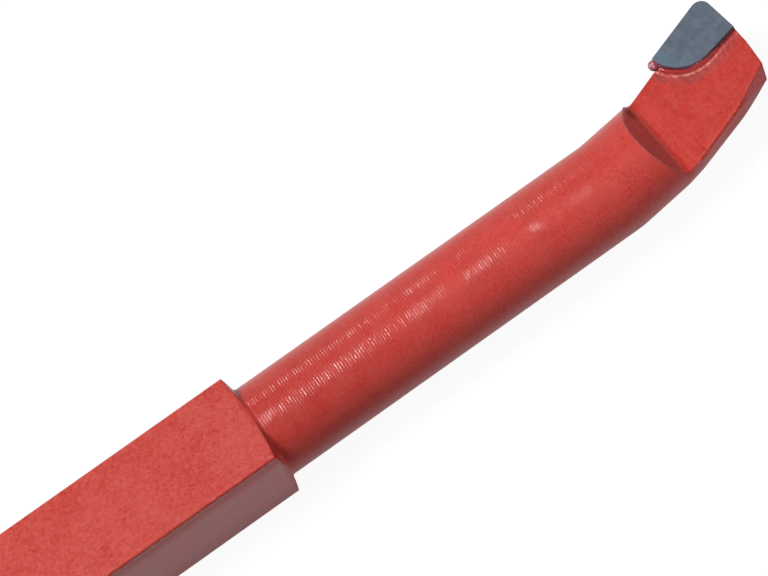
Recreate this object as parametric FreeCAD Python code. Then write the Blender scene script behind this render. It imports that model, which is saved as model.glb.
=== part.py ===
import FreeCAD, Part
import math
import os

from FreeCAD import Placement, Rotation, Vector

# Brazed boring bar, right hand, in millimetres and degrees.
# The origin is the centre of the shank's base, +X runs along the bar to the
# head, +Y points to the side of the carbide tip and +Z is up.

# Square shank and the round neck turned on its end
overall_length = 210.0
reach = 96.8                    # shoulder corners to the front of the head
shank_side = 16.0
shank_edge_radius = 0.5
rear_chamfer = 0.8
shoulder_lean = 11.5            # the turned shoulder rises this much towards the neck
shoulder_root_radius = 0.4
neck_diameter = 15.7

# The two bends that carry the head over to the tip side
first_bend_distance = 66.6      # shoulder corners to the first bend
first_bend_angle = 7.0
first_bend_radius = 10.0
bend_spacing = 10.3
second_bend_angle = 10.5
second_bend_radius = 9.0
head_width = 15.0               # round below, with upright sides up to the flat

# Flat milled across the head, with the step that ends it
step_distance = 76.6            # shoulder corners to the foot of the step
step_lean = 33.0                # slope of the step's wall off the vertical
step_root_radius = 1.3
flat_height = 1.65              # flat above the bar's axis at the foot of the step
flat_rise = 6.9
edge_radius = 0.5               # soft near edge of the flat

# Ground front of the head
front_clearance = 5.0
approach_lean = 5.0             # the cutting edge falls back by this angle
approach_start = 7.6            # where that begins, from the shank's middle plane
trailing_lean = 5.5             # the front falls back to the other side too
trailing_start = 5.0
bevel_heading = 22.4            # bevel on the near edge of the flat
bevel_lean = 26.0
bevel_width = 1.35              # what it takes off the flat at the front
heel_heading = 40.0             # bevel ground under the near front corner
heel_lean = 40.0
heel_height = 0.85              # its front corner above the bar's axis
heel_side = -0.3                # and to the side of the shank's middle plane

# Carbide tip
tip_length = 12.0
tip_width = 8.0
tip_thickness = 5.0
tip_back_radius = 6.0
tip_heading = 10.6
tip_rake = 4.2
tip_proud = 0.5                 # tip above the flat at its inner front corner
tip_inset = 0.7                 # inner edge beyond the start of the approach
ground_width = 7.7              # left of its width at the front, once ground
side_heading = 16.8             # which the ground side follows
side_clearance = 7.0
nose_radius = 1.7

# Braze
braze_gap = 0.12
bead_width = 1.0
bead_sweep = 87.0               # how far it follows the tip's round back, up to the drop
drop_radius = 0.9
drop_height = 0.25              # its centre above the flat

# Values worked out from the sizes above
shank_length = overall_length - reach
shoulder_x = shank_length / 2
rear_x = -shank_length / 2
front_x = shoulder_x + reach
axis_z = shank_side / 2
neck_radius = neck_diameter / 2
head_radius = head_width / 2
head_heading = first_bend_angle + second_bend_angle
clear_of_bar = 3 * shank_side   # how far a cutting block runs past the bar
run_on = shank_edge_radius + shoulder_root_radius    # overlap where pieces are joined or cut

UP = Vector(0, 0, 1)


def direction(heading):
    """Level unit vector at an angle from +X towards +Y."""
    return Vector(math.cos(math.radians(heading)), math.sin(math.radians(heading)), 0)


def tangent(angle):
    return math.tan(math.radians(angle))


def flat_z(x):
    """Height of the milled flat at a place along the bar."""
    return axis_z + flat_height + (x - shoulder_x - step_distance) * tangent(flat_rise)


def rounded_face(corners):
    """Flat face through corners given as (point, radius), each corner rounded."""
    stretches = []
    for index, (point, radius) in enumerate(corners):
        if radius == 0:
            stretches.append((point, None, point))
            continue
        back = (corners[index - 1][0] - point).normalize()
        ahead = (corners[(index + 1) % len(corners)][0] - point).normalize()
        half = back.getAngle(ahead) / 2
        inward = (back + ahead).normalize()
        centre = point + inward * (radius / math.sin(half))
        setback = radius / math.tan(half)
        stretches.append((point + back * setback, centre - inward * radius, point + ahead * setback))
    edges = []
    for index, (start, middle, end) in enumerate(stretches):
        if middle is not None:
            edges.append(Part.Arc(start, middle, end).toShape())
        following = stretches[(index + 1) % len(stretches)][0]
        if end.distanceToPoint(following) > 1e-6:
            edges.append(Part.LineSegment(end, following).toShape())
    return Part.Face(Part.Wire(edges))


def block_beyond(point, heading, clearance):
    """Block outside a ground face that faces heading and leans in below the point."""
    outward = direction(heading)
    normal = outward * math.cos(math.radians(clearance)) - UP * math.sin(math.radians(clearance))
    side = 2 * clear_of_bar
    block = Part.makeBox(side, side, side, Vector(-side / 2, -side / 2, 0))
    block.Placement = Placement(point, Rotation(UP, normal))
    return block


def in_plane_of(rise, heading, point):
    """Frame at a point, in a plane that rises along the bar, turned to a heading."""
    tilt = Rotation(Vector(0, 1, 0), -rise)
    return Placement(point, tilt.multiply(Rotation(UP, heading)))


def square_shank():
    """Square bar with soft long edges, a chamfered rear end and a turned shoulder."""
    height_of_root = (shank_side / math.sqrt(2) - neck_radius) * tangent(shoulder_lean)
    root_x = shoulder_x + height_of_root
    end_x = root_x + 2 * shoulder_root_radius
    bar = Part.makeBox(end_x - rear_x, shank_side, shank_side, Vector(rear_x, -shank_side / 2, 0))
    rear_edges = [e for e in bar.Edges if e.BoundBox.XMax < rear_x + 1e-6]
    bar = bar.makeChamfer(rear_chamfer, rear_edges)
    edges_along = [e for e in bar.Edges if e.BoundBox.XLength > rear_chamfer / 2]
    bar = bar.makeFillet(shank_edge_radius, edges_along)
    wide = 2 * shank_side
    turned = rounded_face([
        (Vector(rear_x - run_on, 0, axis_z), 0),
        (Vector(rear_x - run_on, 0, axis_z + wide), 0),
        (Vector(root_x - (wide - neck_radius) * tangent(shoulder_lean), 0, axis_z + wide), 0),
        (Vector(root_x, 0, axis_z + neck_radius), shoulder_root_radius),
        (Vector(end_x, 0, axis_z + neck_radius), 0),
        (Vector(end_x, 0, axis_z), 0),
    ]).revolve(Vector(0, 0, axis_z), Vector(1, 0, 0), 360)
    return bar.common(turned)


def first_bend_point():
    return Vector(shoulder_x + first_bend_distance, 0, axis_z)


def second_bend_point():
    return first_bend_point() + direction(first_bend_angle) * bend_spacing


def round_disc(centre, heading, radius):
    return Part.Wire(Part.makeCircle(radius, centre, direction(heading)))


def round_neck():
    """Round bar from inside the shank, round the first bend, up to the second."""
    bend = first_bend_point()
    setback = first_bend_radius * tangent(first_bend_angle / 2)
    start = Vector(shoulder_x - shank_side / 4, 0, axis_z)
    arc_start = bend - direction(0) * setback
    arc_end = bend + direction(first_bend_angle) * setback
    centre = arc_start + direction(90) * first_bend_radius
    arc_middle = centre - direction(90 + first_bend_angle / 2) * first_bend_radius
    end = second_bend_point() - direction(first_bend_angle) * second_setback()
    path = Part.Wire([
        Part.LineSegment(start, arc_start).toShape(),
        Part.Arc(arc_start, arc_middle, arc_end).toShape(),
        Part.LineSegment(arc_end, end).toShape(),
    ])
    return path.makePipeShell([round_disc(start, 0, neck_radius)], True, False)


def second_setback():
    return second_bend_radius * tangent(second_bend_angle / 2)


def head_axis_start():
    """Start of the head's axis, set over so that its near side runs on from the neck."""
    over = direction(head_heading + 90) * (neck_radius - head_radius)
    return second_bend_point() + direction(head_heading) * second_setback() - over


def around(centre, heading, radius, angle):
    """Point on a round outline square to heading, by its angle up from the tip side."""
    turn = math.radians(angle)
    return centre + direction(heading + 90) * (radius * math.cos(turn)) + UP * (radius * math.sin(turn))


def neck_outline(centre, heading):
    """Round outline in four arcs, which meet the four sides of the head's outline."""
    arcs = []
    for start, end in [(0, -180), (180, 135), (135, 45), (45, 0)]:
        points = [around(centre, heading, neck_radius, a) for a in (start, (start + end) / 2, end)]
        arcs.append(Part.Arc(*points).toShape())
    return Part.Wire(arcs)


def head_outline(centre, heading):
    """Half round below, with upright sides that run up past the flat."""
    tip_side = around(centre, heading, head_radius, 0)
    bottom = around(centre, heading, head_radius, -90)
    near_side = around(centre, heading, head_radius, 180)
    upwards = UP * head_radius
    return Part.Wire([
        Part.Arc(tip_side, bottom, near_side).toShape(),
        Part.LineSegment(near_side, near_side + upwards).toShape(),
        Part.LineSegment(near_side + upwards, tip_side + upwards).toShape(),
        Part.LineSegment(tip_side + upwards, tip_side).toShape(),
    ])


def head_stock():
    """Forged stock of the head, from the second bend to past the front."""
    end_of_neck = second_bend_point() - direction(first_bend_angle) * second_setback()
    outline = head_outline(head_axis_start(), head_heading)
    blend = Part.makeLoft([neck_outline(end_of_neck, first_bend_angle), outline], True, True)
    length = reach - first_bend_distance
    return blend.fuse(Part.Face(outline).extrude(direction(head_heading) * length))


def space_above_flat():
    """What the cutter takes away: the step's wall, its soft root and the rising flat."""
    foot = Vector(shoulder_x + step_distance, -clear_of_bar, axis_z + flat_height)
    top = foot + Vector(-clear_of_bar * tangent(step_lean), 0, clear_of_bar)
    far_x = foot.x + clear_of_bar
    section = rounded_face([
        (foot, step_root_radius),
        (Vector(far_x, foot.y, flat_z(far_x)), 0),
        (Vector(far_x, foot.y, top.z), 0),
        (top, 0),
    ])
    return section.extrude(Vector(0, 2 * clear_of_bar, 0))


def soften_near_edge(shape):
    """Rounds the flat's edge on the side away from the tip."""
    outward = direction(head_heading - 90)
    side = head_axis_start() + outward * head_radius
    edges = []
    for edge in shape.Edges:
        middle = edge.CenterOfMass
        on_side = abs((middle - side).dot(outward)) < 1e-4
        on_flat = abs(middle.z - flat_z(middle.x)) < 1e-4
        if on_side and on_flat:
            edges.append(edge)
    return shape.makeFillet(edge_radius, edges)


def bevel_near_edge(shape):
    """Bevel that takes off the flat's near edge and widens towards the front."""
    inward = direction(head_heading + 90)
    side = head_axis_start() - inward * head_radius
    ahead = (front_x - side.x) / direction(head_heading).x
    point = side + direction(head_heading) * ahead + inward * bevel_width
    point.z = flat_z(point.x)
    return shape.cut(block_beyond(point, bevel_heading - 90, -bevel_lean))


def grind_front(shape):
    """Cut the front of the head, or of what is in it, to its three ground faces."""
    level = flat_z(front_x)
    faces = [
        (Vector(front_x, 0, level), 0),
        (Vector(front_x, approach_start, level), approach_lean),
        (Vector(front_x, trailing_start, level), -trailing_lean),
    ]
    for point, heading in faces:
        shape = shape.cut(block_beyond(point, heading, front_clearance))
    return shape


def grind_heel(shape):
    """Bevel under the near front corner."""
    corner_x = front_x - (trailing_start - heel_side) * tangent(trailing_lean)
    point = Vector(corner_x, heel_side, axis_z + heel_height)
    return shape.cut(block_beyond(point, heel_heading - 90, heel_lean))


def tip_frame():
    """Frame of the tip: its inner front corner, X back to front, Z square to its top."""
    y = approach_start + tip_inset
    x = front_x - tip_inset * tangent(approach_lean)
    return in_plane_of(tip_rake, tip_heading, Vector(x, y, flat_z(x) + tip_proud))


def tip_block(gap, ahead, aside, above):
    """Tip's plan as a block: grown by a gap, and run on ahead, aside and above its top."""
    back = -tip_length - gap
    side = tip_width + aside
    bottom = -tip_thickness - gap
    plan = rounded_face([
        (Vector(ahead, -gap, bottom), 0),
        (Vector(back, -gap, bottom), tip_back_radius + gap),
        (Vector(back, side, bottom), 0),
        (Vector(ahead, side, bottom), 0),
    ])
    block = plan.extrude(Vector(0, 0, above - bottom))
    block.Placement = tip_frame()
    return block


def carbide_tip():
    """Tip blank, ground on the front and side with clearance, and rounded at the nose."""
    tip = grind_front(tip_block(0, nose_radius + tip_width / 4, 0, 0))
    side = tip_frame().multVec(Vector(0, ground_width, 0))
    tip = tip.cut(block_beyond(side, side_heading + 90, side_clearance))
    nose = max(upright_edges(tip), key=lambda e: e.BoundBox.YMax)
    return tip.makeFillet(nose_radius, [nose])


def upright_edges(shape):
    """Edges that run from the tip's top down to its seat."""
    return [e for e in shape.Edges if e.BoundBox.ZLength > 0.9 * tip_thickness]


def tip_pocket():
    """Room for the tip and the braze round it, open to the front, the tip side and above."""
    return tip_block(braze_gap, shank_side, shank_side, tip_thickness)


def bead():
    """Concave fillet of braze on the flat, along the tip's inner edge and curved back."""
    inside = 2 * braze_gap + bead_width / 4
    bead_height = tip_proud
    x = -tip_length + tip_back_radius
    hollow = 1 - math.sqrt(0.5)
    wall_top = Vector(x, 0, bead_height)
    toe = Vector(x, -bead_width, 0)
    belly = Vector(x, -bead_width * hollow, bead_height * hollow)
    section = Part.Face(Part.Wire([
        Part.LineSegment(Vector(x, inside, -inside), Vector(x, inside, bead_height)).toShape(),
        Part.LineSegment(Vector(x, inside, bead_height), wall_top).toShape(),
        Part.Arc(wall_top, belly, toe).toShape(),
        Part.LineSegment(toe, Vector(x, -bead_width, -inside)).toShape(),
        Part.LineSegment(Vector(x, -bead_width, -inside), Vector(x, inside, -inside)).toShape(),
    ]))
    straight = section.extrude(Vector(run_on - x, 0, 0))
    centre = Vector(x, tip_back_radius, 0)
    curved = section.revolve(centre, UP, -bead_sweep)
    drop_at = centre - direction(90 - bead_sweep) * (tip_back_radius + drop_radius / 2)
    drop = Part.makeSphere(drop_radius, drop_at + UP * drop_height)
    whole = straight.fuse([curved, drop])
    base = tip_frame().Base
    whole.Placement = in_plane_of(flat_rise, tip_heading, Vector(base.x, base.y, flat_z(base.x)))
    return whole


def braze_seam(stock, holder):
    """Braze that fills the pocket round the tip, with its bead on the flat."""
    layer = stock.common(tip_pocket())
    seam = layer.fuse(grind_front(bead()))
    return seam.cut(holder).cut(tip_block(0, shank_side, shank_side, tip_thickness))


def build():
    stock = square_shank().fuse([round_neck(), head_stock()]).removeSplitter()
    stock = soften_near_edge(stock.cut(space_above_flat()))
    stock = grind_heel(grind_front(bevel_near_edge(stock)))
    holder = stock.cut(tip_pocket())
    return {
        "holder": holder,
        "carbide_tip": carbide_tip(),
        "braze_seam": braze_seam(stock, holder),
    }


os.makedirs("parts", exist_ok=True)
for name, shape in build().items():
    solids = shape.Solids
    shape = solids[0] if len(solids) == 1 else Part.makeCompound(solids)
    print(name, len(solids), "solid", round(shape.Volume, 2), "mm3", "valid" if shape.isValid() else "NOT VALID")
    shape.exportStep("parts/" + name + ".step")
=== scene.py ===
import bpy
import math
import numpy as np
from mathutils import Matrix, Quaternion, Vector

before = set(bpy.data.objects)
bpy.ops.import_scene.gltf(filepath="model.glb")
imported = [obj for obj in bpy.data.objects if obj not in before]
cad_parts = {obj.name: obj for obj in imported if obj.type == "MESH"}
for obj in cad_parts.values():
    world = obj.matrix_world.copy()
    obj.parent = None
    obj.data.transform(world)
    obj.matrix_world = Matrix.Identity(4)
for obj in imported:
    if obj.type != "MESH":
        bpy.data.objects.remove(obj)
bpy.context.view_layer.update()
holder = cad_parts["holder"]
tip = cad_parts["carbide_tip"]
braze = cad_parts["braze_seam"]
print("frame loaded:", ", ".join(sorted(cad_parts)))

# Places along the bar in millimetres from the middle of the shank, angles in degrees
bar = {
    "shoulder": 56.6,
    "neckRoot": 57.3,
    "firstBend": 123.2,
    "bendAngle": 7.0,
    "stepFoot": 133.2,
    "stepLean": 33.0,
    "flatHeight": 9.65,
    "flatRise": 6.9,
    "wallTopCorner": (132.09, 6.85, 11.36),
    "tipCorner": (153.34, 8.3),       # inner front corner of the tip
    "tipHeading": 10.6,
    "tipLength": 12.0,
    "tipBackRadius": 6.0,
    "brazeDrop": (140.15, 11.58, 10.74),
}


# Shader node helpers

def newMaterial(name):
    material = bpy.data.materials.new(name)
    material.use_nodes = True
    tree = material.node_tree
    tree.nodes.clear()
    shader = tree.nodes.new("ShaderNodeBsdfPrincipled")
    output = tree.nodes.new("ShaderNodeOutputMaterial")
    tree.links.new(shader.outputs["BSDF"], output.inputs["Surface"])
    return material, tree, shader


def put(tree, kind, sockets, **settings):
    made = tree.nodes.new(kind)
    for key, value in settings.items():
        setattr(made, key, value)
    for key, value in sockets.items():
        if isinstance(value, bpy.types.NodeSocket):
            tree.links.new(value, made.inputs[key])
        else:
            made.inputs[key].default_value = value
    return made


def calc(tree, operation, *values):
    return put(tree, "ShaderNodeMath", dict(enumerate(values)), operation=operation).outputs[0]


def times(tree, *factors):
    product = factors[0]
    for factor in factors[1:]:
        product = calc(tree, "MULTIPLY", product, factor)
    return product


def inverse(tree, value):
    return calc(tree, "SUBTRACT", 1.0, value)


def smooth(tree, value, low, high, atLow=0.0, atHigh=1.0):
    sockets = {"Value": value, "From Min": low, "From Max": high,
               "To Min": atLow, "To Max": atHigh}
    return put(tree, "ShaderNodeMapRange", sockets, interpolation_type="SMOOTHSTEP").outputs[0]


def noise(tree, place, scale, detail=2.0, roughness=0.5):
    sockets = {"Vector": place, "Scale": scale, "Detail": detail, "Roughness": roughness}
    return put(tree, "ShaderNodeTexNoise", sockets).outputs["Fac"]


def mixNumbers(tree, share, first, second):
    return put(tree, "ShaderNodeMix", {0: share, 2: first, 3: second}).outputs[0]


def blend(tree, share, first, second):
    # a mix of two colours
    made = put(tree, "ShaderNodeMix", {}, data_type="RGBA")
    for socket, value in (("Factor", share), ("A", first), ("B", second)):
        inputs = [i for i in made.inputs if i.name == socket and i.enabled]
        if isinstance(value, bpy.types.NodeSocket):
            tree.links.new(value, inputs[0])
        else:
            inputs[0].default_value = value
    return [o for o in made.outputs if o.enabled][0]


def millimetres(tree):
    # object coordinates in millimetres, and their three parts
    objectPlace = put(tree, "ShaderNodeTexCoord", {}).outputs["Object"]
    sockets = {0: objectPlace, "Scale": 1000.0}
    place = put(tree, "ShaderNodeVectorMath", sockets, operation="SCALE").outputs[0]
    parts = put(tree, "ShaderNodeSeparateXYZ", {0: place}).outputs
    return place, parts[0], parts[1], parts[2]


def streaky(tree, place, turn, sizes, detail, roughness=0.5):
    # noise in cells of these sizes, turned about Z by turn (degrees)
    sockets = {"Vector": place, "Rotation": (0, 0, -math.radians(turn))}
    turned = put(tree, "ShaderNodeMapping", sockets, vector_type="POINT").outputs[0]
    sockets = {0: turned, 1: sizes}
    cells = put(tree, "ShaderNodeVectorMath", sockets, operation="DIVIDE").outputs[0]
    return noise(tree, cells, 1.0, detail, roughness)


def bump(tree, height, depth, normal):
    # depth in millimetres for a height that goes from 0 to 1
    sockets = {"Height": height, "Strength": 1.0, "Distance": depth / 1000, "Normal": normal}
    return put(tree, "ShaderNodeBump", sockets).outputs[0]


def softEdges(tree, radius):
    # radius in millimetres
    return put(tree, "ShaderNodeBevel", {"Radius": radius / 1000}, samples=6).outputs[0]


def distanceFrom(tree, place, point):
    sockets = {0: place, 1: point}
    return put(tree, "ShaderNodeVectorMath", sockets, operation="DISTANCE").outputs["Value"]


def beyondTip(tree, x, y):
    # millimetres outside the tip's inner edge and round back, negative on the tip:
    # d = |(min(along + L - R, 0), min(aside - R, 0))| - R, then along and aside, the
    # place in the tip's own directions
    turn = math.radians(bar["tipHeading"])
    length, radius = bar["tipLength"], bar["tipBackRadius"]
    dx = calc(tree, "SUBTRACT", x, bar["tipCorner"][0])
    dy = calc(tree, "SUBTRACT", y, bar["tipCorner"][1])
    along = calc(tree, "MULTIPLY_ADD", dx, math.cos(turn), times(tree, dy, math.sin(turn)))
    aside = calc(tree, "MULTIPLY_ADD", dx, -math.sin(turn), times(tree, dy, math.cos(turn)))
    back = calc(tree, "MINIMUM", calc(tree, "ADD", along, length - radius), 0.0)
    inner = calc(tree, "MINIMUM", calc(tree, "SUBTRACT", aside, radius), 0.0)
    squares = calc(tree, "MULTIPLY_ADD", back, back, times(tree, inner, inner))
    return calc(tree, "SUBTRACT", calc(tree, "SQRT", squares), radius), along, aside


def domes(tree, place, pitch, radius, share):
    # small domes at scattered points, a share of the cells has one
    cells = put(tree, "ShaderNodeTexVoronoi", {"Vector": place, "Scale": 1.0 / pitch}).outputs
    dome = smooth(tree, cells["Distance"], 0.0, radius / pitch, 1.0, 0.0)
    chosen = put(tree, "ShaderNodeSeparateColor", {0: cells["Color"]}).outputs[0]
    return times(tree, dome, smooth(tree, chosen, share, share + 0.02, 1.0, 0.0))


# Red enamel of the bar, thin enough to show the blasted shank, the turned neck
# and the milled flat below it

paint = {
    "shankRed": (0.70, 0.050, 0.033, 1),
    # the shank's side: painted light, greyer painted reflection of the floor, and warmer painted
    # light near its top edge
    "sideLitRed": (0.92, 0.048, 0.060, 1),
    "sideReflectionGrey": (0.58, 0.090, 0.106, 1),
    "sideTopLight": (0.95, 0.070, 0.060, 1),
    "neckRed": (0.82, 0.082, 0.066, 1),
    # painted shade on the neck by the shoulder
    "rootShadeRed": (0.66, 0.052, 0.041, 1),
    # painted reflection of the floor low on the neck
    "lowReflectionGrey": (0.70, 0.170, 0.180, 1),
    # painted shade and painted reflection on the wall of the step
    "wallShadeRed": (0.58, 0.150, 0.155, 1),
    "sooty": (0.38, 0.055, 0.058, 1),
    "flatRed": (0.67, 0.036, 0.024, 1),
    # painted light on the flank below the flat's near edge, and pink-grey painted reflection at its
    # heel
    "flankLitRed": (0.96, 0.062, 0.048, 1),
    "heelReflectionPink": (0.98, 0.280, 0.340, 1),
    "deep": (0.56, 0.030, 0.022, 1),
    "pink": (0.78, 0.125, 0.098, 1),
    # painted shade in the turning marks' grooves, and darker in the milling furrows and the wall's
    # top corner
    "dark": (0.22, 0.015, 0.016, 1),
    # pale dots: painted glints on the paint specks
    "glintDots": (0.90, 0.300, 0.250, 1),
    "smudge": (0.22, 0.075, 0.055, 1),
    # a pale line of painted highlight along the bead's foot
    "footHighlight": (0.90, 0.500, 0.480, 1),
}

# Sizes and depths of the relief in millimetres
relief = {
    "edgeRadius": 0.35,
    "ringPitch": 0.467,
    "ringDepth": 0.022,
    "ringWander": 5.0,        # radians by which a ring strays
    "blastDepth": 0.110,
    "peelDepth": 0.050,
    "millDepth": 0.050,
    "speckDepth": 0.045,
    "specks": (1.7, 0.22, 0.30),      # pitch, radius, share of cells
    "beadFoot": 1.02,         # width of the bead, from the tip's edge to its foot
}

# Cells per millimetre, detail and roughness of the even noises
speckled = {
    "grain": (2.2, 3.0, 0.6),
    "peel": (1.1, 2.0, 0.5),
    "drift": (0.22, 3.0, 0.6),
    "mottle": (1.6, 4.0, 0.75),
    "fleck": (2.6, 3.0, 0.65),
    "smudge": (0.7, 3.0, 0.6),
}

# Turn in degrees, cell size in millimetres, detail and roughness of the streaky noises
streaks = {
    "wander": (0, (6.0, 12.0, 12.0), 1.0, 0.5),
    "uneven": (0, (0.3, 4.0, 4.0), 1.0, 0.5),
    "patches": (0, (6.0, 9.0, 9.0), 2.0, 0.5),
    "milled": (4, (0.42, 7.0, 7.0), 2.0, 0.6),
    "arcs": (-20, (0.5, 4.0, 4.0), 2.0, 0.6),
}

# Spans: where a change starts and ends, then the results there unless they are 0 and 1.
# Places are in millimetres.
span = {
    "shank": (bar["neckRoot"], bar["shoulder"] - 0.3),
    "shankTop": (14.9, 15.7),
    "nearFlat": (-0.25, -0.05),
    "pastStep": (bar["stepFoot"] - 0.5, bar["stepFoot"] + 0.5),
    "wallFace": (0.15, 0.45, 1.0, 0.0),
    "wallFoot": (bar["flatHeight"] + 0.1, bar["flatHeight"] + 0.9),
    "blasted": (0.0, 1.0, 0.16, 1.0),
    "pastBend": (bar["firstBend"] - 1.5, bar["firstBend"] + 1.5),
    "patches": (0.34, 0.62),
    "byRoot": (bar["shoulder"] + 18, bar["shoulder"] + 32, 0.9, 0.0),
    "towardsBend": (bar["firstBend"] - 12, bar["firstBend"] + 2, 1.0, 0.25),
    "upperSide": (13.4, 15.2, 0.12, 1.0),
    "ringUneven": (0.35, 0.65, 0.5, 1.0),
    "ringPatch": (0.0, 1.0, 0.4, 1.0),
    "cutterArcs": (142.0, 147.0),
    "drift": (0.35, 0.65),
    "mottle": (0.38, 0.62),
    "byShoulder": (bar["shoulder"], bar["shoulder"] + 45, 1.0, 0.0),
    "lowNeck": (10.5, 14.5, 0.35, 0.0),
    "sideTopLight": (11.5, 14.5, 0.0, 0.8),
    "heel": (146.0, 149.0),
    "mottling": (0.16, 1.0, 0.52, 1.0),
    "byBraze": (0.8, 3.2, 1.0, 0.0),
    "pastWall": (138.5, 142.0),
    "scuffs": (0.42, 0.62),
    "tipBack": (-7.0, -3.0, 1.0, 0.25),
    "smudgeStart": (1.1, 1.5),
    "smudgeEnd": (1.9, 3.0, 1.0, 0.0),
    "smudgeNoise": (0.38, 0.64, 0.0, 0.5),
    "footHighlightLine": (0.04, 0.20, 1.0, 0.0),
    "footBreaks": (0.0, 1.0, 0.1, 0.9),
    "paintedGrooveShade": (14.4, 15.4, 0.02, 0.20),
    "furrows": (0.35, 0.60, 0.14, 0.0),
    "wallCorner": (0.5, 1.9, 0.9, 0.0),
    "crest": (0.68, 0.97),
    "glintUneven": (0.34, 0.62, 0.34, 1.0),
    "glintPatch": (0.0, 1.0, 0.22, 1.0),
    "glintLevel": (0.0, 1.0, 0.05, 0.66),
    "rimLevel": (0.12, 0.55, 0.0, 0.36),
    "farSide": (0.0, 5.0),
    "farRim": (0.50, 0.85, 0.0, 0.5),
    "sideLevel": (11.5, 14.5, 0.5, 0.20),
}

# Largest shares of the layers of colour
share = {
    "sideReflectionGrey": 0.55,
    "flank": 0.7,
    "deep": 0.95,
    "soot": 0.75,
    "pinkMottle": 0.50,
    "pinkDrift": 0.26,
    "pinkScuffs": 0.5,
    "glintDotsOnTop": 0.55,
    "glintDotsByBraze": 0.8,
}

gloss = {
    "flat": 0.32,             # roughness
    "shank": 0.30,
    "dullNeck": 0.42,
    "brightNeck": 0.16,
    "flatLevel": 0.16,        # specular level
    "index": 1.46,
}


def findGrounds(tree, x, z):
    # share from 0 to 1 of each surface that the enamel lies on
    ground = {"shank": smooth(tree, x, *span["shank"]), "top": smooth(tree, z, *span["shankTop"])}
    ground["side"] = times(tree, ground["shank"], inverse(tree, ground["top"]))
    onTop = times(tree, ground["shank"], ground["top"])
    ground["blasted"] = smooth(tree, onTop, *span["blasted"])
    pastStep = smooth(tree, x, *span["pastStep"])
    ground["neck"] = times(tree, inverse(tree, ground["shank"]), inverse(tree, pastStep))
    fromFoot = calc(tree, "SUBTRACT", x, bar["stepFoot"])
    rise = math.tan(math.radians(bar["flatRise"]))
    flatZ = calc(tree, "MULTIPLY_ADD", fromFoot, rise, bar["flatHeight"])
    nearFlat = smooth(tree, calc(tree, "SUBTRACT", z, flatZ), *span["nearFlat"])
    ground["flat"] = times(tree, nearFlat, pastStep)
    ground["flank"] = times(tree, inverse(tree, nearFlat), pastStep)
    # the wall of the step leans back by stepLean
    lean = math.tan(math.radians(bar["stepLean"]))
    up = calc(tree, "SUBTRACT", z, bar["flatHeight"])
    wallGap = calc(tree, "ABSOLUTE", calc(tree, "MULTIPLY_ADD", up, lean, fromFoot))
    ground["wall"] = times(tree, smooth(tree, wallGap, *span["wallFace"]),
                           smooth(tree, z, *span["wallFoot"]))
    return ground


def turnNeck(tree, place, x, y, z, ground):
    # turning marks: rings square to the bar's axis, also past the first bend
    slope = math.tan(math.radians(bar["bendAngle"]))
    lean = times(tree, smooth(tree, x, *span["pastBend"]), slope)
    along = calc(tree, "MULTIPLY_ADD", y, lean, x)
    wander = streaky(tree, place, *streaks["wander"])
    turns = times(tree, along, 2 * math.pi / relief["ringPitch"])
    phase = calc(tree, "MULTIPLY_ADD", wander, relief["ringWander"], turns)
    ridge = calc(tree, "MULTIPLY_ADD", calc(tree, "SINE", phase), 0.5, 0.5)
    uneven = streaky(tree, place, *streaks["uneven"])
    patches = smooth(tree, streaky(tree, place, *streaks["patches"]), *span["patches"])
    patches = calc(tree, "MAXIMUM", patches, smooth(tree, x, *span["byRoot"]))
    bright = times(tree, patches, smooth(tree, x, *span["towardsBend"]))
    # the enamel lies thicker low down and fills the rings there
    upperSide = smooth(tree, z, *span["upperSide"])
    ringShare = times(tree, smooth(tree, uneven, *span["ringUneven"]),
                      smooth(tree, bright, *span["ringPatch"]), upperSide)
    rings = times(tree, ridge, ringShare, ground["neck"])
    return {"ridge": ridge, "uneven": uneven, "bright": bright, "upperSide": upperSide,
            "rings": rings}


def millFlat(tree, place, x, ground):
    # milling streaks across the flat, and the cutter's arcs near the tip
    milled = streaky(tree, place, *streaks["milled"])
    arcs = streaky(tree, place, *streaks["arcs"])
    mill = blend(tree, smooth(tree, x, *span["cutterArcs"]), milled, arcs)
    return times(tree, mill, ground["flat"])


def paintNormal(tree, place, ground, rings, mill, specks):
    # blasting and orange peel of the shank's top, finer on the rest
    grain = times(tree, noise(tree, place, *speckled["grain"]), ground["blasted"])
    peel = times(tree, noise(tree, place, *speckled["peel"]), ground["blasted"])
    normal = softEdges(tree, relief["edgeRadius"])
    normal = bump(tree, rings, relief["ringDepth"], normal)
    normal = bump(tree, grain, relief["blastDepth"], normal)
    normal = bump(tree, peel, relief["peelDepth"], normal)
    normal = bump(tree, mill, relief["millDepth"], normal)
    return bump(tree, specks, relief["speckDepth"], normal)


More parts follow.
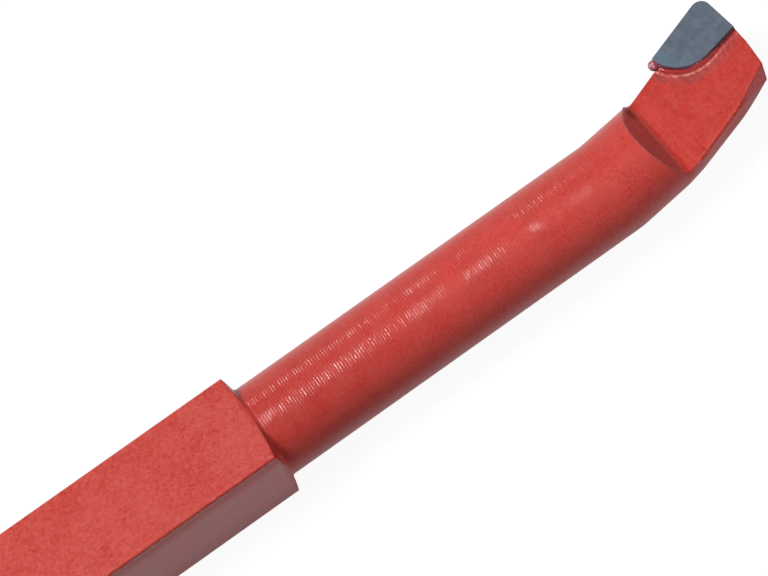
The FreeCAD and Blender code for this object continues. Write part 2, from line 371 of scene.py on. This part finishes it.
def groundColour(tree, x, z, ground, drift):
    # each ground has its own red; deeper by the shoulder is painted shade, greyer low on the neck
    # is painted reflection of the floor, darker and greyer on the wall is painted shade and
    # reflection
    byShoulder = smooth(tree, x, *span["byShoulder"])
    colour = blend(tree, byShoulder, paint["neckRed"], paint["rootShadeRed"])
    lowNeck = times(tree, smooth(tree, z, *span["lowNeck"]), ground["neck"])
    colour = blend(tree, lowNeck, colour, paint["lowReflectionGrey"])
    colour = blend(tree, ground["shank"], colour, paint["shankRed"])
    # the shank's side: a brighter crimson as painted light, greyer patches as painted reflection of
    # the floor, and a warmer band near the top edge as painted light
    sideReflectionShare = times(tree, drift, share["sideReflectionGrey"])
    sideColour = blend(tree, sideReflectionShare, paint["sideLitRed"], paint["sideReflectionGrey"])
    sideColour = blend(tree, smooth(tree, z, *span["sideTopLight"]), sideColour, paint["sideTopLight"])
    colour = blend(tree, ground["side"], colour, sideColour)
    # the flank below the flat's near edge is lighter red, pink-grey towards the heel: painted light
    # and painted reflection
    flankColour = blend(tree, smooth(tree, x, *span["heel"]), paint["flankLitRed"], paint["heelReflectionPink"])
    colour = blend(tree, times(tree, ground["flank"], share["flank"]), colour, flankColour)
    colour = blend(tree, ground["flat"], colour, paint["flatRed"])
    return blend(tree, ground["wall"], colour, paint["wallShadeRed"])


def addBrazeSmudgeAndFootHighlight(tree, place, colour, onBack, fromTip, mottle):
    # what brazing left on the flat: a smudge outside the bead; along the bead's foot a broken pale
    # line of painted highlight; both strongest round the tip's back
    smudge = times(tree, smooth(tree, fromTip, *span["smudgeStart"]),
                   smooth(tree, fromTip, *span["smudgeEnd"]))
    clouds = smooth(tree, noise(tree, place, *speckled["smudge"]), *span["smudgeNoise"])
    colour = blend(tree, times(tree, smudge, clouds, onBack), colour, paint["smudge"])
    offFoot = calc(tree, "ABSOLUTE", calc(tree, "SUBTRACT", fromTip, relief["beadFoot"]))
    footHighlightLine = times(tree, smooth(tree, offFoot, *span["footHighlightLine"]),
                     smooth(tree, mottle, *span["footBreaks"]))
    return blend(tree, times(tree, footHighlightLine, onBack), colour, paint["footHighlight"])


def darkenGroovesFurrowsAndCorner(tree, place, z, colour, ground, neck, mill):
    # painted shade in the grooves of the turning marks where the neck shines; darker in the milling
    # furrows and in the top corner of the wall
    grooves = times(tree, inverse(tree, neck["ridge"]), times(tree, neck["bright"], ground["neck"]))
    grooves = times(tree, grooves, smooth(tree, z, *span["paintedGrooveShade"]))
    colour = blend(tree, grooves, colour, paint["dark"])
    furrows = times(tree, smooth(tree, mill, *span["furrows"]), ground["flat"])
    colour = blend(tree, furrows, colour, paint["dark"])
    fromCorner = distanceFrom(tree, place, bar["wallTopCorner"])
    return blend(tree, smooth(tree, fromCorner, *span["wallCorner"]), colour, paint["dark"])


def paintColour(tree, place, x, y, z, ground, neck, mill, specks):
    drift = smooth(tree, noise(tree, place, *speckled["drift"]), *span["drift"])
    mottle = smooth(tree, noise(tree, place, *speckled["mottle"]), *span["mottle"])
    fleck = smooth(tree, noise(tree, place, *speckled["fleck"]), *span["mottle"])
    colour = groundColour(tree, x, z, ground, drift)
    mottling = calc(tree, "MAXIMUM", smooth(tree, ground["blasted"], *span["mottling"]),
                    ground["wall"])
    colour = blend(tree, times(tree, fleck, mottling, share["deep"]), colour, paint["deep"])
    # sooty by the braze, with pink scuffs, and a slow pink drift everywhere
    fromTip, byLength, _ = beyondTip(tree, x, y)
    byBraze = times(tree, smooth(tree, fromTip, *span["byBraze"]),
                    smooth(tree, x, *span["pastWall"]))
    colour = blend(tree, times(tree, byBraze, share["soot"]), colour, paint["sooty"])
    scuffs = times(tree, byBraze, smooth(tree, mill, *span["scuffs"]))
    pinkShare = times(tree, mottle, mottling, share["pinkMottle"])
    pinkShare = calc(tree, "MULTIPLY_ADD", drift, share["pinkDrift"], pinkShare)
    pinkShare = calc(tree, "MULTIPLY_ADD", scuffs, share["pinkScuffs"], pinkShare)
    colour = blend(tree, pinkShare, colour, paint["pink"])
    onBack = times(tree, smooth(tree, byLength, *span["tipBack"]), ground["flat"])
    colour = addBrazeSmudgeAndFootHighlight(tree, place, colour, onBack, fromTip, mottle)
    # pale dots on the specks are painted glints, on the shank's top and by the braze
    glintDotted = calc(tree, "MAXIMUM", times(tree, ground["top"], share["glintDotsOnTop"]),
                  times(tree, byBraze, share["glintDotsByBraze"]))
    colour = blend(tree, times(tree, specks, glintDotted), colour, paint["glintDots"])
    return darkenGroovesFurrowsAndCorner(tree, place, z, colour, ground, neck, mill)


def paintGloss(tree, shader, y, z, ground, neck):
    # only the crests of the turning marks shine, and not all of them
    shiny = times(tree, smooth(tree, neck["uneven"], *span["glintUneven"]),
                  smooth(tree, neck["bright"], *span["glintPatch"]))
    glint = times(tree, smooth(tree, neck["ridge"], *span["crest"]), shiny, neck["upperSide"])
    onNeck = smooth(tree, glint, 0.0, 1.0, gloss["dullNeck"], gloss["brightNeck"])
    elsewhere = smooth(tree, ground["shank"], 0.0, 1.0, gloss["flat"], gloss["shank"])
    roughness = mixNumbers(tree, ground["neck"], elsewhere, onNeck)
    tree.links.new(roughness, shader.inputs["Roughness"])
    # the blasted top of the shank mirrors little, its side more, the neck on its crests
    # and at its rims
    facing = put(tree, "ShaderNodeLayerWeight", {"Blend": 0.5}).outputs["Facing"]
    level = calc(tree, "MAXIMUM", smooth(tree, glint, *span["glintLevel"]),
                 smooth(tree, facing, *span["rimLevel"]))
    farRim = times(tree, smooth(tree, y, *span["farSide"]), smooth(tree, facing, *span["farRim"]))
    level = calc(tree, "ADD", level, farRim)
    level = mixNumbers(tree, ground["neck"], gloss["flatLevel"], level)
    onShank = smooth(tree, z, *span["sideLevel"])
    level = mixNumbers(tree, ground["shank"], level, onShank)
    tree.links.new(level, shader.inputs["Specular IOR Level"])
    shader.inputs["IOR"].default_value = gloss["index"]


def makePaint():
    material, tree, shader = newMaterial("redEnamel")
    place, x, y, z = millimetres(tree)
    ground = findGrounds(tree, x, z)
    neck = turnNeck(tree, place, x, y, z, ground)
    mill = millFlat(tree, place, x, ground)
    specks = domes(tree, place, *relief["specks"])
    normal = paintNormal(tree, place, ground, neck["rings"], mill, specks)
    colour = paintColour(tree, place, x, y, z, ground, neck, mill, specks)
    tree.links.new(colour, shader.inputs["Base Color"])
    paintGloss(tree, shader, y, z, ground, neck)
    tree.links.new(normal, shader.inputs["Normal"])
    return material


# Cemented carbide: matt, blue-grey and slightly clouded

carbide = {
    "grey": (0.104, 0.136, 0.182, 1),
    "teal": (0.124, 0.203, 0.262, 1),
    "pale": (0.175, 0.216, 0.266, 1),
    "dark": (0.075, 0.100, 0.125, 1),
    "lavender": (0.300, 0.215, 0.280, 1),
    "waver": (0.6, 2.0),              # noises as above
    "cloud": (0.55, 4.0, 0.65),
    "blotch": (1.3, 3.0, 0.7),
    "grain": (4.0, 3.0, 0.6),
    "back": (-9.5, -6.5, 1.0, 0.0),   # spans as above
    "backWaver": 3.0,
    "cloudSpan": (0.35, 0.65),
    "blotchSpan": (0.52, 0.72),
    "rim": (-0.02, 0.08),
    "rimWaver": 0.25,
    "rimBack": (-8.0, -6.0, 1.0, 0.0),
    # painted shade along the tip's far edge
    "farEdgeShade": (7.3, 7.7),
    "paleShare": 0.60,
    "tealShare": 0.75,
    "blotchShare": 0.55,
    "rimShare": 0.5,
    "farEdgeShadeShare": 0.35,
    "roughness": 0.5,
    "level": 0.25,
    "edgeRadius": 0.12,
    "grainDepth": 0.030,
}


def makeCarbide():
    material, tree, shader = newMaterial("cementedCarbide")
    place, x, y, _ = millimetres(tree)
    outside, along, aside = beyondTip(tree, x, y)
    waver = noise(tree, place, *carbide["waver"])
    wavering = calc(tree, "MULTIPLY_ADD", waver, carbide["backWaver"], along)
    back = smooth(tree, wavering, *carbide["back"])
    cloud = smooth(tree, noise(tree, place, *carbide["cloud"]), *carbide["cloudSpan"])
    blotch = smooth(tree, noise(tree, place, *carbide["blotch"]), *carbide["blotchSpan"])
    pale = times(tree, cloud, carbide["paleShare"])
    colour = blend(tree, pale, carbide["grey"], carbide["pale"])
    colour = blend(tree, times(tree, back, carbide["tealShare"]), colour, carbide["teal"])
    colour = blend(tree, times(tree, blotch, carbide["blotchShare"]), colour, carbide["dark"])
    # flux and braze stain a thin rim along the round back
    wavering = calc(tree, "MULTIPLY_ADD", waver, carbide["rimWaver"], outside)
    rim = times(tree, smooth(tree, wavering, *carbide["rim"]),
                smooth(tree, along, *carbide["rimBack"]), carbide["rimShare"])
    colour = blend(tree, rim, colour, carbide["lavender"])
    # painted shade along the tip's far edge
    farEdgeShade = times(tree, smooth(tree, aside, *carbide["farEdgeShade"]), carbide["farEdgeShadeShare"])
    colour = blend(tree, farEdgeShade, colour, carbide["dark"])
    tree.links.new(colour, shader.inputs["Base Color"])
    shader.inputs["Roughness"].default_value = carbide["roughness"]
    shader.inputs["Specular IOR Level"].default_value = carbide["level"]
    grain = noise(tree, place, *carbide["grain"])
    normal = bump(tree, grain, carbide["grainDepth"], softEdges(tree, carbide["edgeRadius"]))
    tree.links.new(normal, shader.inputs["Normal"])
    return material


# Braze: dark purple against the tip, red where the enamel reaches it, a pale line of painted
# highlight on the lip outside, and a glossy purple drop at the back of the tip

brazeLook = {
    # dark: against the tip, and painted shade low on the drop
    "dark": (0.090, 0.014, 0.030, 1),
    "red": (0.54, 0.045, 0.045, 1),
    "drop": (0.44, 0.095, 0.145, 1),
    # pale: painted highlight on the lip, and painted glints on the drop
    "pale": (0.78, 0.420, 0.450, 1),
    "waver": (1.1, 2.0),              # noises as above
    "glintDots": (1.7, 1.0),
    "lumps": (1.0, 2.0, 0.5),
    "front": (-6.0, -3.0, 0.0, 0.30),     # spans as above
    "reachWaver": 0.6,
    "byTip": (0.30, 0.50, 1.0, 0.0),
    "lipPlace": 0.92,
    "lip": (0.05, 0.24, 1.0, 0.0),
    "lipHighlightShare": (-7.0, -3.0, 0.85, 0.25),
    "onDrop": (0.95, 1.25, 1.0, 0.0),
    "lowWaver": 0.5,
    "lowDownShade": (10.7, 11.5, 1.0, 0.0),
    "glintDotSpan": (0.54, 0.62),
    "glintDotShare": 0.8,
    "roughness": 0.16,
    "edgeRadius": 0.15,
    "lumpDepth": 0.06,
    "lipDepth": 0.05,
}


def makeBraze():
    material, tree, shader = newMaterial("brazeFiller")
    place, x, y, z = millimetres(tree)
    outside, along, _ = beyondTip(tree, x, y)
    waver = noise(tree, place, *brazeLook["waver"])
    # the dark line is thin round the back and broad along the straight front part
    front = smooth(tree, along, *brazeLook["front"])
    wavering = calc(tree, "MULTIPLY_ADD", waver, brazeLook["reachWaver"], outside)
    byTip = smooth(tree, calc(tree, "SUBTRACT", wavering, front), *brazeLook["byTip"])
    colour = blend(tree, byTip, brazeLook["red"], brazeLook["dark"])
    # a pale line painted as a highlight along the bead's lip
    offLip = calc(tree, "ABSOLUTE", calc(tree, "SUBTRACT", outside, brazeLook["lipPlace"]))
    lip = smooth(tree, offLip, *brazeLook["lip"])
    lipHighlightShare = times(tree, lip, smooth(tree, along, *brazeLook["lipHighlightShare"]))
    colour = blend(tree, lipHighlightShare, colour, brazeLook["pale"])
    # the drop: purple, with painted shade low down and pale dots of painted highlight
    fromDrop = distanceFrom(tree, place, bar["brazeDrop"])
    wavering = calc(tree, "MULTIPLY_ADD", waver, brazeLook["lowWaver"], z)
    lowDownShade = smooth(tree, wavering, *brazeLook["lowDownShade"])
    dropColour = blend(tree, lowDownShade, brazeLook["drop"], brazeLook["dark"])
    glintDots = smooth(tree, noise(tree, place, *brazeLook["glintDots"]), *brazeLook["glintDotSpan"])
    glintDots = times(tree, glintDots, brazeLook["glintDotShare"])
    dropColour = blend(tree, glintDots, dropColour, brazeLook["pale"])
    colour = blend(tree, smooth(tree, fromDrop, *brazeLook["onDrop"]), colour, dropColour)
    tree.links.new(colour, shader.inputs["Base Color"])
    shader.inputs["Roughness"].default_value = brazeLook["roughness"]
    lumps = noise(tree, place, *brazeLook["lumps"])
    normal = bump(tree, lumps, brazeLook["lumpDepth"], softEdges(tree, brazeLook["edgeRadius"]))
    normal = bump(tree, lip, brazeLook["lipDepth"], normal)
    tree.links.new(normal, shader.inputs["Normal"])
    return material


holder.material_slots[0].material = makePaint()
tip.material_slots[0].material = makeCarbide()
braze.material_slots[0].material = makeBraze()
print("materials made")

# Floor, white to the camera and in reflections, with the bar's soft shadow on it

studio = {
    "floorSize": 3.0,
    "floorGlow": 0.93,
    "floorWhite": 0.12,
    "floorForDiffuse": 0.055,
    "floorUnderBar": (5.0, 11.0, 0.40, 1.0),  # share of the glow by distance from the bar's
                                              # axis, for what the bar mirrors of its shade
    "skyForDiffuse": 0.055,
    "sky": (0.15, 0.55, 1.0, 0.12),   # white at the horizon and dim overhead
    "lampAim": (0.08, 0.0, 0.01),
    "lamps": {                # size along and across, power, place, lights, shows in gloss
        "keySoftbox": ((0.36, 0.36), 6.8, (-0.33, 0.21, 0.81), True, False),
        "headFill": ((0.2, 0.2), 0.11, (0.20, -0.13, 0.13), True, False),
        "topSpot": ((0.20, 0.13), 2.3, (0.11, 0.0, 0.60), False, True),
        "farSpot": ((0.20, 0.15), 1.0, (0.11, 0.50, 0.42), False, True),
        "glintSoftbox": ((0.25, 0.25), 3.0, (-0.38, 0.07, 0.47), False, True),
    },
}


def seenDirectly(tree):
    # 1 for camera, glossy and transmission rays
    path = put(tree, "ShaderNodeLightPath", {})
    seen = calc(tree, "MAXIMUM", path.outputs["Is Camera Ray"], path.outputs["Is Glossy Ray"])
    return calc(tree, "MAXIMUM", seen, path.outputs["Is Transmission Ray"])


def greyDiffuse(tree, grey):
    return put(tree, "ShaderNodeBsdfDiffuse", {"Color": (grey, grey, grey, 1)}).outputs[0]


def makeFloorMaterial():
    material = bpy.data.materials.new("paleFloor")
    material.use_nodes = True
    tree = material.node_tree
    tree.nodes.clear()
    _, x, y, _ = millimetres(tree)
    # the glow is dimmer below the bar, for glossy rays only
    bend = calc(tree, "MAXIMUM", calc(tree, "SUBTRACT", x, bar["firstBend"]), 0.0)
    slope = -math.tan(math.radians(bar["bendAngle"]))
    fromAxis = calc(tree, "ABSOLUTE", calc(tree, "MULTIPLY_ADD", bend, slope, y))
    mirrored = put(tree, "ShaderNodeLightPath", {}).outputs["Is Glossy Ray"]
    shade = calc(tree, "MAXIMUM", smooth(tree, fromAxis, *studio["floorUnderBar"]),
                 inverse(tree, mirrored))
    strength = times(tree, shade, studio["floorGlow"])
    glow = put(tree, "ShaderNodeEmission", {"Strength": strength}).outputs[0]
    lit = greyDiffuse(tree, studio["floorWhite"])
    shown = put(tree, "ShaderNodeAddShader", {0: lit, 1: glow}).outputs[0]
    dull = greyDiffuse(tree, studio["floorForDiffuse"])
    sockets = {0: seenDirectly(tree), 1: dull, 2: shown}
    surface = put(tree, "ShaderNodeMixShader", sockets).outputs[0]
    put(tree, "ShaderNodeOutputMaterial", {"Surface": surface})
    return material


def makeFloor():
    half = studio["floorSize"] / 2
    corners = np.array([(-half, -half, 0), (half, -half, 0), (half, half, 0), (-half, half, 0)])
    mesh = bpy.data.meshes.new("floor")
    mesh.from_pydata(corners.tolist(), [], [(0, 1, 2, 3)])
    mesh.materials.append(makeFloorMaterial())
    floor = bpy.data.objects.new("floor", mesh)
    bpy.context.scene.collection.objects.link(floor)


def makeSky():
    world = bpy.data.worlds.new("studioSky")
    bpy.context.scene.world = world
    world.use_nodes = True
    tree = world.node_tree
    tree.nodes.clear()
    direction = put(tree, "ShaderNodeTexCoord", {}).outputs["Generated"]
    upwards = put(tree, "ShaderNodeSeparateXYZ", {0: direction}).outputs[2]
    seen = smooth(tree, upwards, *studio["sky"])
    strength = mixNumbers(tree, seenDirectly(tree), studio["skyForDiffuse"], seen)
    sockets = {"Color": (1, 1, 1, 1), "Strength": strength}
    sky = put(tree, "ShaderNodeBackground", sockets).outputs[0]
    put(tree, "ShaderNodeOutputWorld", {"Surface": sky})


def areaLamp(name, size, power, place, lights, inGloss):
    lamp = bpy.data.lights.new(name, "AREA")
    lamp.shape = "RECTANGLE"
    lamp.size, lamp.size_y = size
    lamp.energy = power
    lampObject = bpy.data.objects.new(name, lamp)
    look = Vector(studio["lampAim"]) - Vector(place)
    lampObject.location = place
    lampObject.rotation_mode = "QUATERNION"
    lampObject.rotation_quaternion = look.to_track_quat("-Z", "Y")
    lampObject.visible_diffuse = lights
    lampObject.visible_glossy = inGloss
    bpy.context.scene.collection.objects.link(lampObject)


makeFloor()
makeSky()
for name, settings in studio["lamps"].items():
    areaLamp(name, *settings)
print("floor, sky and lamps made")

# The camera stands where a fit to the photograph's straight edges puts it
camera = {
    "place": (0.05777, -0.14745, 0.33452),
    "aim": (0.08545, 0.00829, 0.008),
    "roll": -26.098,
    "lens": 109.42,
    "sensorWidth": 36.0,
    "clipStart": 0.01,
}


def makeCamera():
    lens = bpy.data.cameras.new("camera")
    lens.lens = camera["lens"]
    lens.sensor_width = camera["sensorWidth"]
    lens.clip_start = camera["clipStart"]
    cameraObject = bpy.data.objects.new("camera", lens)
    look = Vector(camera["aim"]) - Vector(camera["place"])
    cameraObject.location = camera["place"]
    cameraObject.rotation_mode = "QUATERNION"
    turn = Quaternion((0, 0, 1), math.radians(camera["roll"]))
    cameraObject.rotation_quaternion = look.to_track_quat("-Z", "Y") @ turn
    bpy.context.scene.collection.objects.link(cameraObject)
    bpy.context.scene.camera = cameraObject


makeCamera()
bpy.context.scene.view_settings.view_transform = "Standard"
print("camera made")
